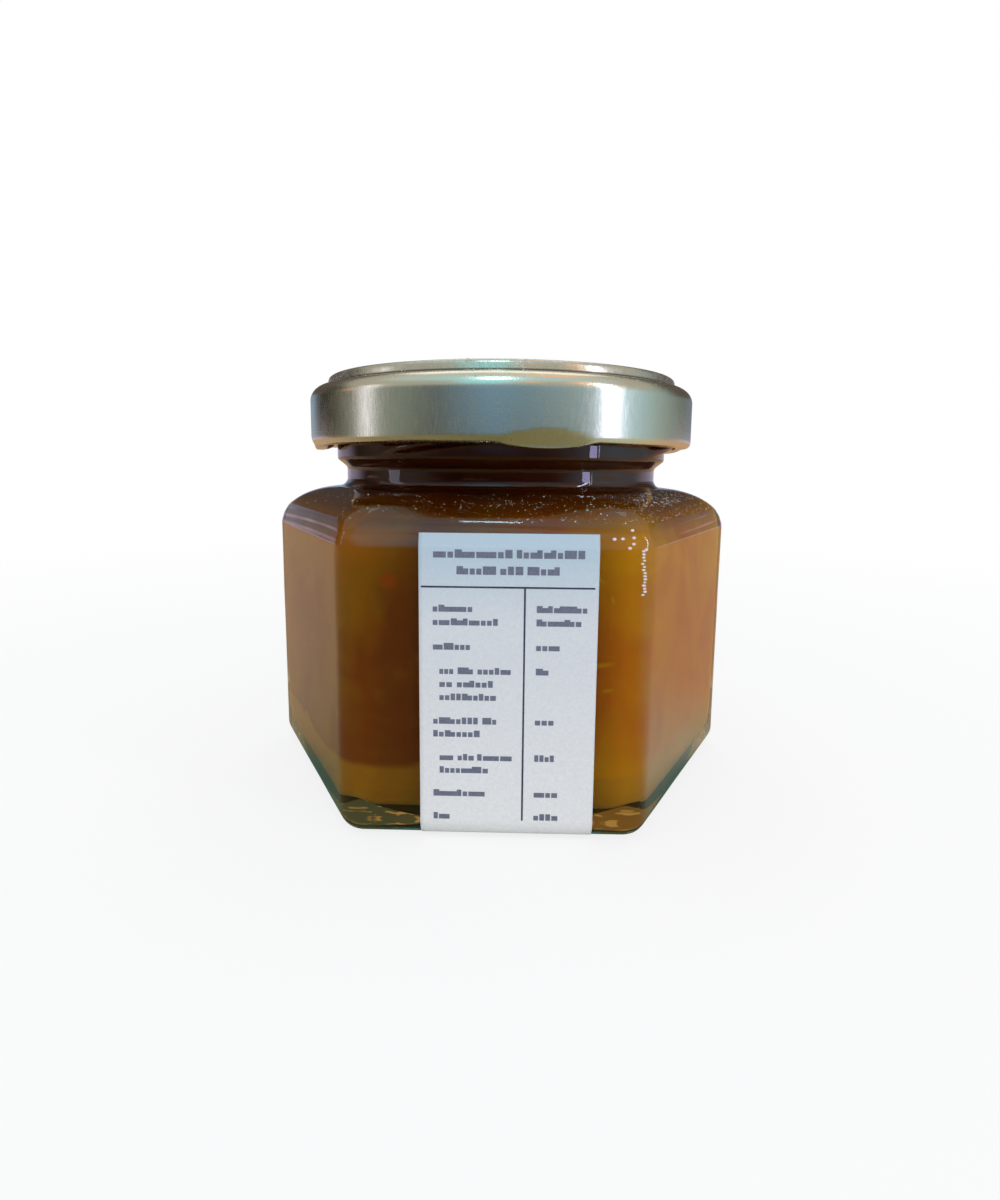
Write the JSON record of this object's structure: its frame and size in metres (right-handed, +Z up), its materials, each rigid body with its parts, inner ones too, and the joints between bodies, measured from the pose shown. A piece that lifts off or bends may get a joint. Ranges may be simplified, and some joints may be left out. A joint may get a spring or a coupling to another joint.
{
  "type": "hexagonal jar of pumpkin jam",
  "caption": "Hexagonal glass jar filled with amber pumpkin jam, shut by a round metal twist-off cap, with a plain ruled paper label on the front face.",
  "frame": {"origin": "on the table, at the foot of the jar's vertical axis", "axes": "+Z up along the jar's axis, -Y out of the labelled face, two upright edges on the X axis"},
  "size_m": [0.0804, 0.0709, 0.0659],
  "materials": {
    "clear_glass": "moulded clear soda-lime glass with a faint green tint",
    "pumpkin_jam": "translucent amber jam, glossy where it wets the glass",
    "lacquered_steel": "satin pale gold lacquer on thin steel sheet",
    "sealing_compound": "soft off-white sealing compound flowed into the cap's raised ring",
    "label_paper": "smooth white paper with a slight sheen"
  },
  "bodies": {
    "root": {"jar_glass": "clear_glass", "jam": "pumpkin_jam", "lid": "lacquered_steel", "gasket": "sealing_compound", "label": "label_paper"}
  },
  "joints": []
}
